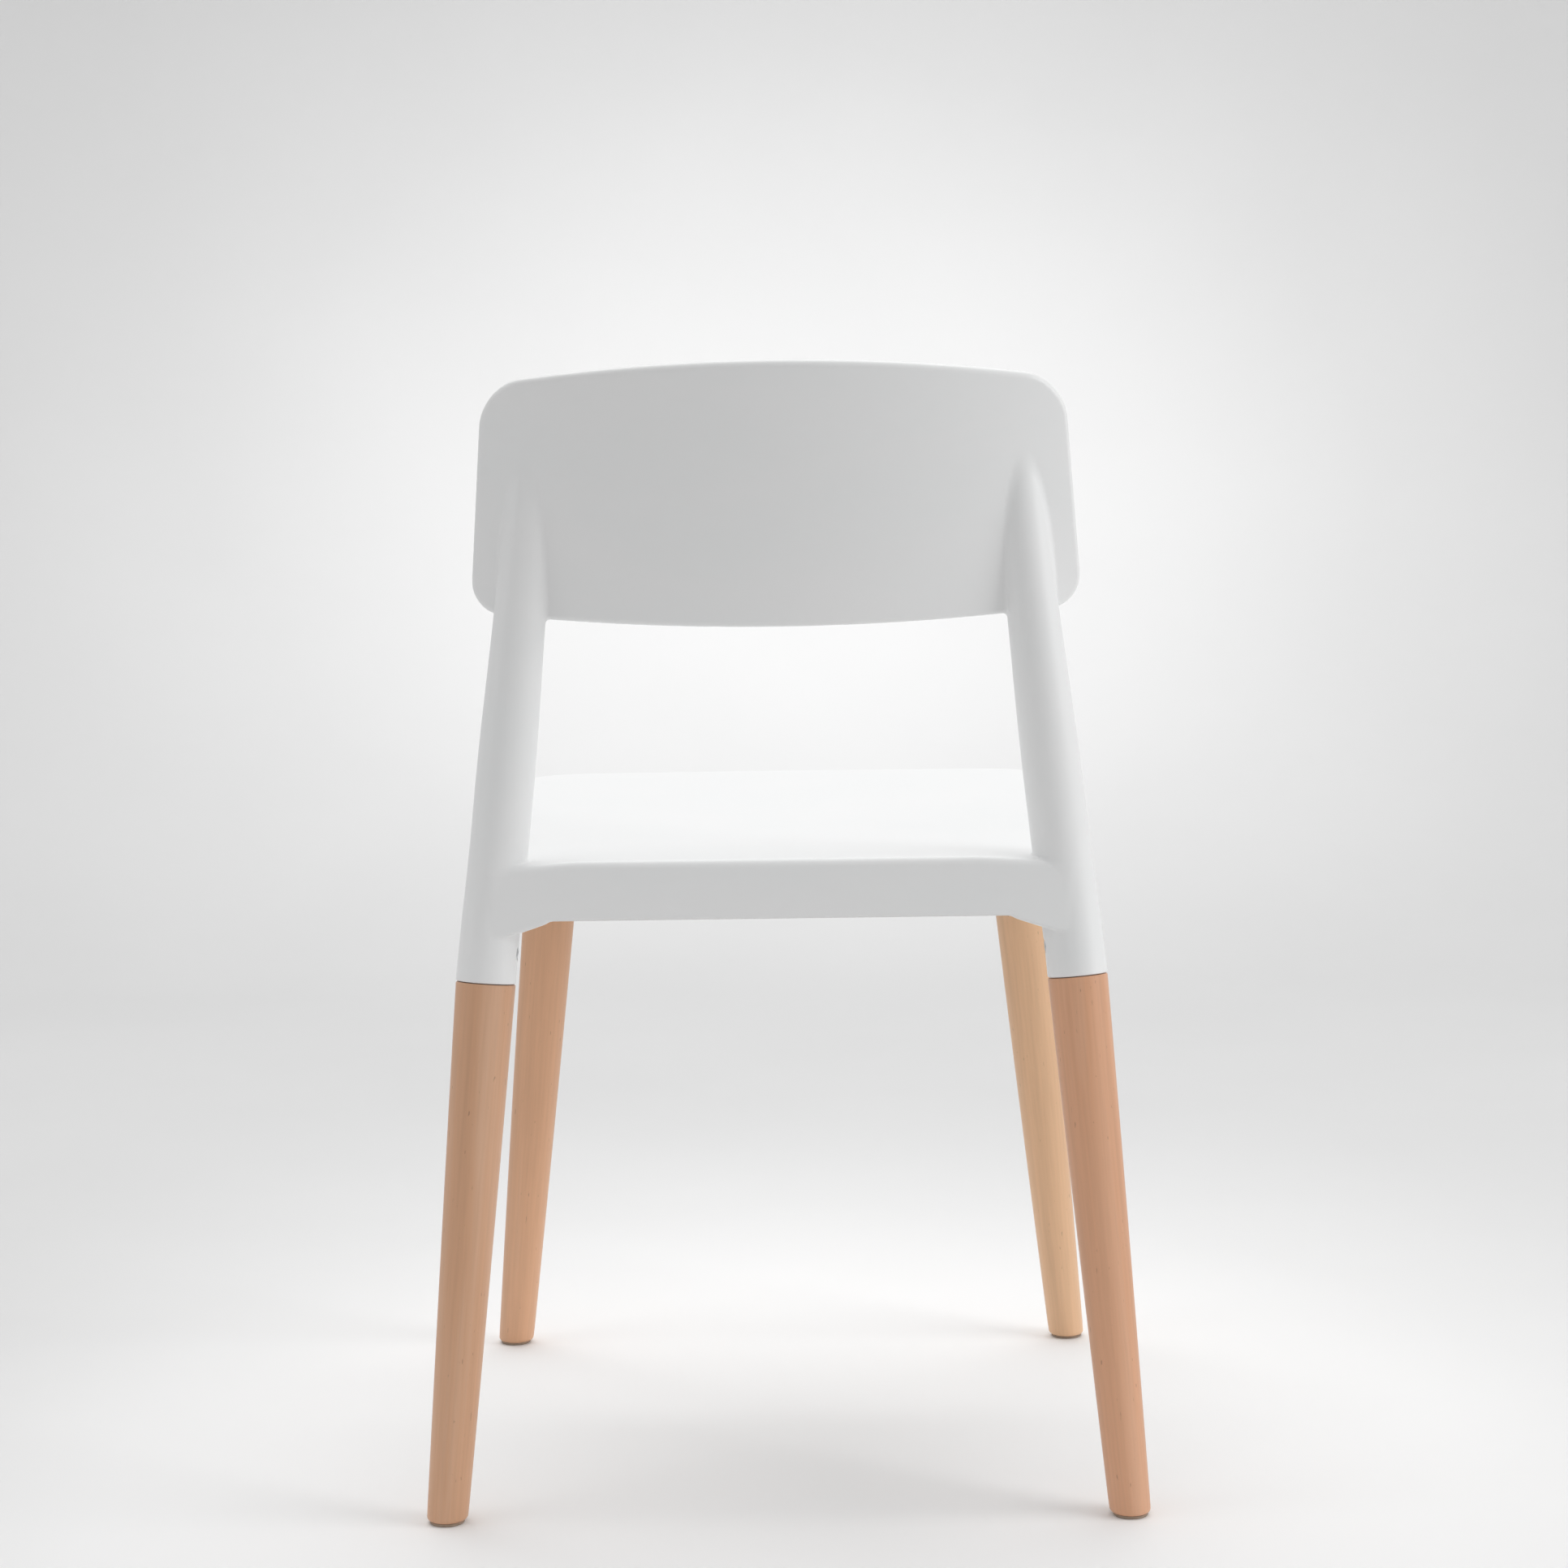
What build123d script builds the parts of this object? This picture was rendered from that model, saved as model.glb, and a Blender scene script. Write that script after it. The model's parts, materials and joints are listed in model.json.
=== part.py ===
"""Dining chair: a white polypropylene frame on four turned beech legs.

Millimetres. +Z is up and +Y points to the chair's back. The origin is on the floor, under the middle of
the whole chair. Left and right are the sitter's, so left is +X.
The plastic frame is one moulding. It is cut here into four sections that meet face to face: the seat
shell with its four leg sockets, the two uprights and the backrest.
"""
from build123d import *
import math
import os

# ---- driving dimensions -------------------------------------------------------------------------------
HEIGHT = 785.0

# Legs: where each axis meets the floor and where the wood meets the plastic.
REAR_FOOT = Vector(233.8, 207.0, 0)
REAR_JOINT = Vector(202.7, 166.0, 366.5)
FRONT_FOOT = Vector(226.2, -239.0, 0)
FRONT_JOINT = Vector(187.6, -197.0, 366.5)
FOOT_R = 14.0
JOINT_R = 20.5
ENTASIS = 0.35
STRAIGHT_FOOT = 60.0
FOOT_ROUND = 3.0
TENON_R = 12.0
TENON_LENGTH = 60.0
SOCKET_PLAY = 0.1

# Glides and their nails.
GLIDE_T = 2.0
GLIDE_R = 12.0
NAIL_HEAD_R = 3.0
NAIL_HEAD_T = 1.0
NAIL_R = 1.1
NAIL_LENGTH = 18.0
NAIL_RECESS = 0.5

# Leg screws: M5 button heads, sunk flush, that enter each socket from the chair's middle.
SCREW_HEIGHT = 22.0
SCREW_R = 2.5
SCREW_LENGTH = 18.0
HEAD_R = 4.75
HEAD_H = 2.75
HEX_FLATS = 3.0
HEX_DEPTH = 1.8
SPOT_R = 5.6
SPOT_FROM_AXIS = 15.6
WASHER_R = 5.0
WASHER_T = 1.0
SPRING_WASHER_R = 4.6
SPRING_WASHER_T = 1.2
SPRING_GAP = 1.2
HOLE_R = 2.8
INSERT_R = 4.0
INSERT_LENGTH = 12.0
INSERT_START = -1.4
INSERT_RINGS = 4

# Uprights: each bends out of its leg's line, then rises straight into the back of the backrest.
BEND_TOP = Vector(190.3, 165.4, 470.0)
UPRIGHT_RISE = Vector(-0.12, 0.10, 1.0)
UPRIGHT_RADII = ((0, 20.0), (70, 19.5), (148, 17.5), (262, 17.0))

# Backrest: a bent sheet that leans back.
BACK_BOTTOM_Z = 610.2
BACK_REAR_Y = 207.8
BACK_LEAN = 0.26
BACK_BEND_R = 496.0
BACK_T = 9.5
BACK_HALF_BOTTOM = 208.0
BACK_SIDE_SLOPE = 0.10
BACK_TOP_SAG = 12.2
BACK_BOTTOM_SAG = 10.5
BACK_TOP_CORNER_R = 28.0
BACK_BOTTOM_CORNER_R = 24.0
BACK_EDGE_R = 4.2

# Seat shell.
SEAT_REAR_Y = 183.5
SEAT_REAR_TOP_Z = 451.0
SEAT_FRONT_Y = -236.0
SEAT_FRONT_TOP = (-221.0, 471.0)
SEAT_DIP = ((96.0, 447.6), (-60.0, 455.8))
SEAT_BOTTOM_REAR_Z = 410.3
SEAT_BOTTOM_FRONT_Z = 430.0
SEAT_HALF_REAR = 210.0
SEAT_HALF_FRONT = 214.0
SEAT_CORNER_R = 52.0
SEAT_REAR_CORNER_R = 16.0
SEAT_FRONT_BOW = 7.0
SEAT_EDGE_R = 6.0
SKIN = 4.0
SEAT_OPEN_DROP = 60.0
SEAT_RUN_ON = (20.0, 1.5)
ROLL_MIDDLE = (0.643, 0.234)
ROLL_END = (0.98, 0.8)
RIB_T = 2.5
RIB_DEPTH = 14.0
RIBS_X = 178.0
RIBS_FRONT_Y = -188.0
RIBS_REAR_Y = 163.0
LONG_RIBS = 6
CROSS_RIBS = 6
GUSSET_DROP = 13.0
GUSSET_X = (154.0, 170.0, 196.0)
GUSSET_T = 9.0
FRONT_SOCKET_LENGTH = 110.0
FRONT_SOCKET_FREE_Z = 436.0

LEGS = {"rear": (REAR_FOOT, REAR_JOINT), "front": (FRONT_FOOT, FRONT_JOINT)}
AXIS_X = Vector(1, 0, 0)
SIDES = (("left", False), ("right", True))


# ---- helpers ------------------------------------------------------------------------------------------
def on_side(shape, flip):
    """Everything is drawn on the left, +X, and mirrored for the right."""
    return mirror(shape, about=Plane.YZ) if flip else shape


def leg_place(foot, joint):
    """Frame at a leg's joint: z runs up the leg, and x points to the chair's middle."""
    along = (joint - foot).normalized()
    return Plane(origin=joint, x_dir=-AXIS_X, z_dir=along).location


def turned(points, arc_from=None):
    """Solid of revolution about z from (radius, height) points. One span may be an entasis arc."""
    edges = []
    for i, (a, b) in enumerate(zip(points, points[1:] + points[:1])):
        if i == arc_from:
            middle = ((a[0] + b[0]) / 2 + ENTASIS, (a[1] + b[1]) / 2)
            edges.append(ThreePointArc((a[0], 0, a[1]), (middle[0], 0, middle[1]), (b[0], 0, b[1])))
        else:
            edges.append(Line((a[0], 0, a[1]), (b[0], 0, b[1])))
    return revolve(make_face(edges), Axis.Z)


def inward(height, start, radius, length):
    """Cylinder on the screw's axis, in a leg's frame, from `start` off the leg's axis outwards."""
    return Plane(origin=(start, 0, height), z_dir=AXIS_X).location * Cylinder(
        radius, length, align=(Align.CENTER, Align.CENTER, Align.MIN))


def evenly(first, last, count):
    """Evenly spaced numbers from first to last."""
    return [first + (last - first) * i / (count - 1) for i in range(count)]


def box_between(low, high):
    """Box from one corner to the other."""
    size = Vector(*high) - Vector(*low)
    return Pos(*low) * Box(size.X, size.Y, size.Z, align=(Align.MIN, Align.MIN, Align.MIN))


# ---- legs, glides and fasteners -----------------------------------------------------------------------
def make_leg(foot, joint):
    """Round tapered leg with its tenon, cut level at the foot and drilled for its insert and nail."""
    length = (joint - foot).length
    below = 20.0
    taper = (JOINT_R - FOOT_R) / length
    leg = turned([
        (0, -length - below),
        (FOOT_R - taper * below, -length - below),
        (FOOT_R + taper * STRAIGHT_FOOT, STRAIGHT_FOOT - length),
        (JOINT_R, 0),
        (TENON_R, 0),
        (TENON_R, TENON_LENGTH - 1.5),
        (TENON_R - 1.5, TENON_LENGTH),
        (0, TENON_LENGTH),
    ], arc_from=2)
    leg -= inward(SCREW_HEIGHT, INSERT_START, INSERT_R, TENON_R - INSERT_START + 1)
    leg = leg_place(foot, joint) * leg
    leg -= box_between((foot.X - 60, foot.Y - 60, -60), (foot.X + 60, foot.Y + 60, GLIDE_T))
    rim = leg.faces().sort_by(Axis.Z)[0].outer_wire().edges()
    leg = fillet(rim, FOOT_ROUND)
    return leg - nail_hole(foot)


def nail_hole(foot):
    """The nail's track in the wood."""
    start = NAIL_RECESS + NAIL_HEAD_T
    return Pos(foot.X, foot.Y, start) * Cylinder(
        NAIL_R, NAIL_LENGTH, align=(Align.CENTER, Align.CENTER, Align.MIN))


def make_glide(foot):
    """Nylon pad with a rounded rim and a counterbored nail hole."""
    pad = Cylinder(GLIDE_R, GLIDE_T, align=(Align.CENTER, Align.CENTER, Align.MIN))
    pad = fillet(pad.edges().sort_by(Axis.Z)[0], 1.0)
    pad -= Cylinder(NAIL_R, GLIDE_T, align=(Align.CENTER, Align.CENTER, Align.MIN))
    pad -= Cylinder(NAIL_HEAD_R, NAIL_RECESS + NAIL_HEAD_T, align=(Align.CENTER, Align.CENTER, Align.MIN))
    return Pos(foot.X, foot.Y, 0) * pad


def make_nail(foot):
    """Clout nail: its head sits up inside the glide, clear of the floor."""
    head = Cylinder(NAIL_HEAD_R, NAIL_HEAD_T, align=(Align.CENTER, Align.CENTER, Align.MIN))
    tip = Pos(0, 0, NAIL_LENGTH - 3) * Cone(NAIL_R, 0.2, 3, align=(Align.CENTER, Align.CENTER, Align.MIN))
    shank = Cylinder(NAIL_R, NAIL_LENGTH - 3, align=(Align.CENTER, Align.CENTER, Align.MIN))
    return Pos(foot.X, foot.Y, NAIL_RECESS) * (head + shank + tip)


def make_insert():
    """Ringed brass insert in the tenon, in a leg's frame."""
    start = INSERT_START
    insert = inward(SCREW_HEIGHT, start, INSERT_R, INSERT_LENGTH)
    pitch = INSERT_LENGTH / (INSERT_RINGS + 1)
    for i in range(INSERT_RINGS):
        at = start + pitch * (i + 1)
        groove = inward(SCREW_HEIGHT, at - 0.5, INSERT_R + 1, 1.0)
        groove -= inward(SCREW_HEIGHT, at - 0.5, INSERT_R - 0.5, 1.0)
        insert -= groove
    return insert - inward(SCREW_HEIGHT, start, SCREW_R, INSERT_LENGTH)


def make_washer():
    """Flat washer on the spot face."""
    washer = inward(SCREW_HEIGHT, SPOT_FROM_AXIS, WASHER_R, WASHER_T)
    return washer - inward(SCREW_HEIGHT, SPOT_FROM_AXIS, HOLE_R, WASHER_T)


def make_spring_washer():
    """Split washer under the head."""
    start = SPOT_FROM_AXIS + WASHER_T
    washer = inward(SCREW_HEIGHT, start, SPRING_WASHER_R, SPRING_WASHER_T)
    washer -= inward(SCREW_HEIGHT, start, HOLE_R, SPRING_WASHER_T)
    half = SPRING_GAP / 2
    low = (start - 1, -half, SCREW_HEIGHT)
    return washer - box_between(low, (start + SPRING_WASHER_T + 1, half, SCREW_HEIGHT + SPRING_WASHER_R + 1))


def make_screw():
    """Button head screw with a hexagon socket, in a leg's frame."""
    under_head = SPOT_FROM_AXIS + WASHER_T + SPRING_WASHER_T
    shank = inward(SCREW_HEIGHT, under_head - SCREW_LENGTH, SCREW_R, SCREW_LENGTH)
    head = inward(SCREW_HEIGHT, under_head, HEAD_R, HEAD_H)
    crown = head.edges().sort_by(Axis.X)[-1]
    head = fillet(crown, 1.9)
    at = Plane(origin=(under_head + HEAD_H, 0, SCREW_HEIGHT), z_dir=AXIS_X)
    hexagon = at * RegularPolygon(HEX_FLATS / math.sqrt(3), 6)
    return shank + head - extrude(hexagon, -HEX_DEPTH)


# ---- backrest and uprights ----------------------------------------------------------------------------
def back_outline():
    """Face in the XZ plane: bowed top and bottom, tapering sides and round corners."""
    top = HEIGHT
    low = BACK_BOTTOM_Z
    side_bottom = BACK_HALF_BOTTOM
    side_top = BACK_HALF_BOTTOM - BACK_SIDE_SLOPE * (top - low)
    corners = [
        (-side_bottom, 0, low + BACK_BOTTOM_SAG),
        (side_bottom, 0, low + BACK_BOTTOM_SAG),
        (side_top, 0, top - BACK_TOP_SAG),
        (-side_top, 0, top - BACK_TOP_SAG),
    ]
    edges = [
        ThreePointArc(corners[0], (0, 0, low), corners[1]),
        Line(corners[1], corners[2]),
        ThreePointArc(corners[2], (0, 0, top), corners[3]),
        Line(corners[3], corners[0]),
    ]
    face = make_face(edges)
    face = fillet(face.vertices().sort_by(Axis.Z)[:2], BACK_BOTTOM_CORNER_R)
    return fillet(face.vertices().sort_by(Axis.Z)[-2:], BACK_TOP_CORNER_R)


def back_drum(radius):
    """Leaning drum whose rear side is a face of the backrest when its radius is right."""
    lean = Vector(0, BACK_LEAN, 1).normalized()
    rearward = Vector(0, lean.Z, -lean.Y)
    middle = Vector(0, BACK_REAR_Y, BACK_BOTTOM_Z) - rearward * BACK_BEND_R + lean * 90
    return Plane(origin=middle, x_dir=AXIS_X, z_dir=lean).location * Cylinder(radius, 600)


def make_backrest(outline):
    """Sheet between two drums, trimmed to the outline, with round edges."""
    prism = extrude(outline, 400, both=True)
    half_space = box_between((-300, 0, 500), (300, 400, 900))
    sheet = (prism & back_drum(BACK_BEND_R) & half_space) - back_drum(BACK_BEND_R - BACK_T)
    sheet = sheet.solids().sort_by(SortBy.VOLUME)[-1]
    wide = sheet.faces().sort_by(SortBy.AREA)[-2:]
    return fillet(wide[0].edges() + wide[1].edges(), BACK_EDGE_R)


def make_bend():
    """Left post from the rear leg's joint to the straight part: rings lofted along a curve tangent to both."""
    along = (REAR_JOINT - REAR_FOOT).normalized()
    rise = UPRIGHT_RISE.normalized()
    arm = (BEND_TOP - REAR_JOINT).length / 3
    curve = Bezier(REAR_JOINT, REAR_JOINT + along * arm, BEND_TOP - rise * arm, BEND_TOP)
    steps = 5
    rings = []
    for i in range(steps + 1):
        t = i / steps
        radius = JOINT_R + (UPRIGHT_RADII[0][1] - JOINT_R) * t
        rings.append(Plane(origin=curve @ t, x_dir=AXIS_X, z_dir=curve % t) * Circle(radius))
    return loft(rings)


def make_upright(outline):
    """Left upright: a turned, slightly waisted bar, cut away by the backrest that it runs into."""
    side = [(radius, 0, z) for z, radius in UPRIGHT_RADII]
    low, high = side[0][2], side[-1][2]
    face = make_face([
        Line((0, 0, low), side[0]),
        Spline(side, tangents=[(0, 0, 1), (0, 0, 1)]),
        Line(side[-1], (0, 0, high)),
        Line((0, 0, high), (0, 0, low)),
    ])
    place = Plane(origin=BEND_TOP, x_dir=AXIS_X, z_dir=UPRIGHT_RISE).location
    bar = place * revolve(face, Axis.Z)
    behind = extrude(outline, 400, both=True) & back_drum(BACK_BEND_R)
    return (bar - behind).solids().sort_by(SortBy.VOLUME)[-1]


# ---- seat shell ---------------------------------------------------------------------------------------
def seat_plan(inset=0.0):
    """Plan of the seat: straight at the back, with large front corners and a bowed front."""
    rear = SEAT_REAR_Y - inset
    front = SEAT_FRONT_Y + inset
    wide = SEAT_HALF_FRONT - inset
    back = SEAT_HALF_REAR - inset
    corners = [(back, rear), (wide, front + SEAT_FRONT_BOW), (-wide, front + SEAT_FRONT_BOW), (-back, rear)]
    edges = [
        Line(corners[0], corners[1]),
        ThreePointArc(corners[1], (0, front), corners[2]),
        Line(corners[2], corners[3]),
        Line(corners[3], corners[0]),
    ]
    face = make_face(edges)
    ends = face.vertices().sort_by(Axis.Y)
    face = fillet(ends[:2], SEAT_CORNER_R - inset)
    rear_ends = face.vertices().sort_by(Axis.Y)[-2:]
    return fillet(rear_ends, SEAT_REAR_CORNER_R - inset / 2)


def seat_profile(drop=0.0):
    """Side view: a dipped top, a rolled front edge and a straight lower edge."""
    front_y, front_z = SEAT_FRONT_TOP
    front_z -= drop
    roll = front_y - SEAT_FRONT_Y
    past, past_rise = SEAT_RUN_ON
    slope = (SEAT_BOTTOM_FRONT_Z - SEAT_BOTTOM_REAR_Z) / (SEAT_REAR_Y - SEAT_FRONT_Y)
    lower = SEAT_OPEN_DROP if drop else 0.0
    rear_top = (0, SEAT_REAR_Y + past, SEAT_REAR_TOP_Z + past_rise - drop)
    front_top = (0, front_y, front_z)
    half_rolled = (0, front_y - ROLL_MIDDLE[0] * roll, front_z - ROLL_MIDDLE[1] * roll)
    rolled = (0, front_y - ROLL_END[0] * roll, front_z - ROLL_END[1] * roll)
    front_low = (0, rolled[1] - 1, SEAT_BOTTOM_FRONT_Z - lower)
    rear_low = (0, SEAT_REAR_Y + past, SEAT_BOTTOM_REAR_Z - slope * past - lower)
    dips = [(0, y, z - drop) for y, z in SEAT_DIP]
    return make_face([
        Spline([rear_top, *dips, front_top], tangents=[(0, -1, -0.02), (0, -1, 0.02)]),
        ThreePointArc(front_top, half_rolled, rolled),
        Line(rolled, front_low),
        Line(front_low, rear_low),
        Line(rear_low, rear_top),
    ])


def seat_block(inset=0.0, drop=0.0):
    """Seat as a solid block: the side view, lowered by `drop`, run across and trimmed to the plan."""
    across = Pos(-300, 0, 0) * extrude(seat_profile(drop), 600, dir=AXIS_X)
    upright = Pos(0, 0, 330) * extrude(seat_plan(inset), 200)
    block = across & upright
    return block.solids().sort_by(SortBy.VOLUME)[-1]


def soften(block):
    """Rounds the seat's upper rim, which is every edge between an upward face and another one."""
    upward = [face for face in block.faces() if face.normal_at().Z > 0.2]
    edges = [edge for face in upward for edge in face.edges()]
    rim = [edge for edge in edges if sum(edge.is_same(other) for other in edges) == 1]
    return fillet(rim, SEAT_EDGE_R)


def make_ribs():
    """Rib grid under the skin, whose outer ribs run through the sockets."""
    grid = Sketch()
    for x in evenly(-RIBS_X, RIBS_X, LONG_RIBS):
        grid += Pos(x, 0) * Rectangle(RIB_T, 600)
    for y in evenly(RIBS_FRONT_Y, RIBS_REAR_Y, CROSS_RIBS):
        grid += Pos(0, y) * Rectangle(600, RIB_T)
    tall = Pos(0, 0, 380) * extrude(grid, 120)
    return (tall & seat_block(SKIN / 2, SKIN / 2)) - seat_block(0, SKIN + RIB_DEPTH)


def make_gusset():
    """Web that carries the rear apron's lower edge down to the left socket in a soft curve."""
    high = SEAT_BOTTOM_REAR_Z
    low = high - GUSSET_DROP
    inner, bend, outer = GUSSET_X
    face = make_face([
        Line((inner, 0, high + 1), (outer, 0, high + 1)),
        Line((outer, 0, high + 1), (outer, 0, low)),
        Bezier((outer, 0, low), (bend, 0, low), (bend, 0, high), (inner, 0, high)),
        Line((inner, 0, high), (inner, 0, high + 1)),
    ])
    return Pos(0, SEAT_REAR_Y, 0) * extrude(face, GUSSET_T, dir=(0, -1, 0))


def make_sockets():
    """Rear sockets with their bends, front sockets trimmed under the seat's top, and the webs."""
    block = seat_block()
    straight = leg_place(FRONT_FOOT, FRONT_JOINT) * Cylinder(
        JOINT_R, FRONT_SOCKET_LENGTH, align=(Align.CENTER, Align.CENTER, Align.MIN))
    front = (straight & block) + (straight & box_between((0, -400, 300), (400, 0, FRONT_SOCKET_FREE_Z)))
    solids = []
    for _, flip in SIDES:
        for solid in (make_bend(), front, make_gusset()):
            solids.append(on_side(solid, flip))
    return solids


def make_bores():
    """Each socket's tenon bore, screw hole and spot face."""
    cuts = []
    bore = Cylinder(TENON_R + SOCKET_PLAY, TENON_LENGTH + 1, align=(Align.CENTER, Align.CENTER, Align.MIN))
    bore += inward(SCREW_HEIGHT, 0, HOLE_R, 30)
    bore += inward(SCREW_HEIGHT, SPOT_FROM_AXIS, SPOT_R, 12)
    for _, flip in SIDES:
        for foot, joint in LEGS.values():
            cuts.append(on_side(leg_place(foot, joint) * bore, flip))
    return cuts


def make_seat_shell():
    """Seat skin, aprons, ribs, sockets and bends in one solid."""
    shell = soften(seat_block()) - seat_block(SKIN, SKIN)
    shell += [make_ribs()] + make_sockets()
    return shell - make_bores()


# ---- the nodes ----------------------------------------------------------------------------------------
def build_nodes():
    """Every node's shape, before the chair is centred over the origin."""
    outline = back_outline()
    upright = make_upright(outline)
    nodes = {"seat_shell": make_seat_shell(), "backrest": make_backrest(outline)}
    fasteners = {"leg_screws": [], "flat_washers": [], "spring_washers": [], "threaded_inserts": []}
    makers = dict(zip(fasteners, (make_screw, make_washer, make_spring_washer, make_insert)))
    nails = []
    for side, flip in SIDES:
        nodes[side + "_upright"] = on_side(upright, flip)
        for end, (foot, joint) in LEGS.items():
            nodes[end + "_" + side + "_leg"] = on_side(make_leg(foot, joint), flip)
            nodes[end + "_" + side + "_glide"] = on_side(make_glide(foot), flip)
            nails.append(on_side(make_nail(foot), flip))
            for name, maker in makers.items():
                fasteners[name].append(on_side(leg_place(foot, joint) * maker(), flip))
    fasteners["glide_nails"] = nails
    for name, solids in fasteners.items():
        nodes[name] = Compound([shape.solid() for shape in solids])
    return nodes


def main():
    """Centre the chair over the origin and write one file per node."""
    nodes = build_nodes()
    boxes = [shape.bounding_box() for shape in nodes.values()]
    front = min(box.min.Y for box in boxes)
    rear = max(box.max.Y for box in boxes)
    centre = Pos(0, -(front + rear) / 2, 0)
    os.makedirs("parts", exist_ok=True)
    for name, shape in nodes.items():
        export_step(centre * shape, "parts/" + name + ".step")
    print("depth", round(rear - front, 2), "moved back by", round(centre.position.Y, 3))


main()
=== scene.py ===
import json
import math

import bpy
import numpy as np
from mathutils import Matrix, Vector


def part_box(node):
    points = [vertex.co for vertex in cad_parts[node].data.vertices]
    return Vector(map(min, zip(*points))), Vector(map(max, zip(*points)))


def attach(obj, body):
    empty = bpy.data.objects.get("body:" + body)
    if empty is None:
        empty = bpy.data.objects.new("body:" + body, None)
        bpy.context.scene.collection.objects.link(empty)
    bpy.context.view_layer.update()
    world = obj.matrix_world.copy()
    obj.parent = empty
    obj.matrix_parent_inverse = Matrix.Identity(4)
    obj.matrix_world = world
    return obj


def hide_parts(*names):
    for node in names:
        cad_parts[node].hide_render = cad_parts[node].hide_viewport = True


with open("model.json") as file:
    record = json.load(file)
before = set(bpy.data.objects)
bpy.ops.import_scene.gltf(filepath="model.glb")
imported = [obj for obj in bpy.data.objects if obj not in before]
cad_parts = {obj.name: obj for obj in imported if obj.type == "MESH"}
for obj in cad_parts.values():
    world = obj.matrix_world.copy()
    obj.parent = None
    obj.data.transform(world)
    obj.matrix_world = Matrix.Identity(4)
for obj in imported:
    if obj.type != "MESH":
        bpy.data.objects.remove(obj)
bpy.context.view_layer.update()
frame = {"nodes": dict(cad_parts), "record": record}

import openvdb
from mathutils import Matrix, Vector

MM = 0.001


def box_mm(name):
    """Lowest and highest corner of a CAD node's box, in millimetres."""
    low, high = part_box(name)
    return np.array(low) / MM, np.array(high) / MM


def floor_point(name):
    """Point on the floor under the middle of a CAD node, in millimetres."""
    low, high = box_mm(name)
    return np.array(((low[0] + high[0]) / 2, (low[1] + high[1]) / 2, 0.0))


# ---- sizes, in millimetres, in the frame of the CAD model ------------------------------------------------
# The chair is drawn on the sitter's left, +X, and mirrored.
REAR_FOOT = floor_point("rear_left_glide")
FRONT_FOOT = floor_point("front_left_glide")
REAR_JOINT = REAR_FOOT + (-31.1, -41.0, 366.5)
FRONT_JOINT = FRONT_FOOT + (-38.6, 42.0, 366.5)
LEGS = {"rear": (REAR_FOOT, REAR_JOINT), "front": (FRONT_FOOT, FRONT_JOINT)}

# Legs, with their tenons and screw holes. A shadow gap shows where the wood meets the plastic.
FOOT_R = 14.0
JOINT_R = 20.5
ENTASIS = 0.35
FOOT_ROUND = 3.0
FOOT_Z = box_mm("rear_left_glide")[1][2]
TENON_R = 12.0
TENON_LENGTH = 60.0
BORE_PLAY = 0.1
JOINT_EDGE = 0.7
JOINT_GAP = 0.3
CUT_BELOW_JOINT = 11.0
INSERT_R = 4.0
SCREW_HEIGHT = 22.0
HOLE_R = 2.8
SPOT_R = 5.6
SPOT_FROM_AXIS = 15.6

# Rear posts: each carries on from its leg, bends, rises straight and gets thinner at its waist.
BEND_TOP = REAR_FOOT + (-43.5, -41.6, 470.0)
UPRIGHT_RISE = (-0.12, 0.10)
UPRIGHT_R = 20.0
UPRIGHT_TIP_R = 17.0
WAIST_START = 25.0
WAIST_LENGTH = 168.0

# Backrest. A post ends POST_COVER behind its front face. Near its bottom edge that cut moves forward.
BACK_BOTTOM_Z = box_mm("backrest")[0][2]
BACK_TOP_Z = box_mm("backrest")[1][2]
BACK_REAR_Y = REAR_FOOT[1] + 0.8
BACK_LEAN = 0.26
BACK_TILT = math.hypot(1, BACK_LEAN)
BACK_BEND_R = 496.0
BACK_T = 9.5
BACK_HALF_BOTTOM = 208.0
BACK_SIDE_SLOPE = 0.10
BACK_SIDE_STRETCH = 1.07
BACK_TOP_SAG = 12.2
BACK_BOTTOM_SAG = 10.5
BACK_TOP_CORNER_R = 28.0
BACK_BOTTOM_CORNER_R = 24.0
BACK_EDGE_R = 4.2
POST_COVER = 1.2
POST_CUT_SLOPE = 0.35
POST_CUT_HEIGHT = 14.0

# Seat: its outline, top face, edges, apron and ribs.
SEAT_REAR_Y = REAR_FOOT[1] - 23.5
SEAT_FRONT_Y = box_mm("seat_shell")[0][1]
SEAT_REAR_Z = 451.4
SEAT_FRONT_Z = 471.0
SEAT_CREST_Y = SEAT_FRONT_Y + 15.0
SEAT_DIP = 6.5
SEAT_DIP_FADE = 0.45
SEAT_EVEN_RISE = 0.35
SEAT_CROSS_DIP = 4.0
SEAT_CROSS_WIDTH = 420.0
SEAT_CORNER_DROP = 3.5
SEAT_CORNER_X = 130.0
SEAT_CORNER_SPAN = (60.0, 70.0)
SEAT_BOTTOM_REAR_Z = 410.3
SEAT_BOTTOM_SLOPE = 0.047
SEAT_HALF_REAR = 210.0
SEAT_HALF_FRONT = 214.0
SEAT_CORNER_R = 52.0
SEAT_REAR_CORNER_R = 16.0
SEAT_FRONT_BOW = 7.0
SEAT_DRAFT = 0.04
SEAT_DRAFT_FROM = 20.0
SEAT_REAR_EDGE_R = 6.0
SEAT_FRONT_EDGE_R = 16.0
SEAT_EDGE_CHANGE = 60.0
SEAT_EDGE_SHRINK = 0.6
APRON_RIM_R = 1.6
SKIN = 4.0
SKIRT_DROP = 11.0
SKIRT_REACH = 27.0
SKIRT_ONSET = 5.0
RIB_T = 2.5
RIB_DEPTH = 14.0
RIB_STEP = 7.0
RIB_ENDS_X = (-200.0, 200.0)
RIB_ENDS_Y = (-205.0, 175.0)
RIB_WALL_Z = 440.0
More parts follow.
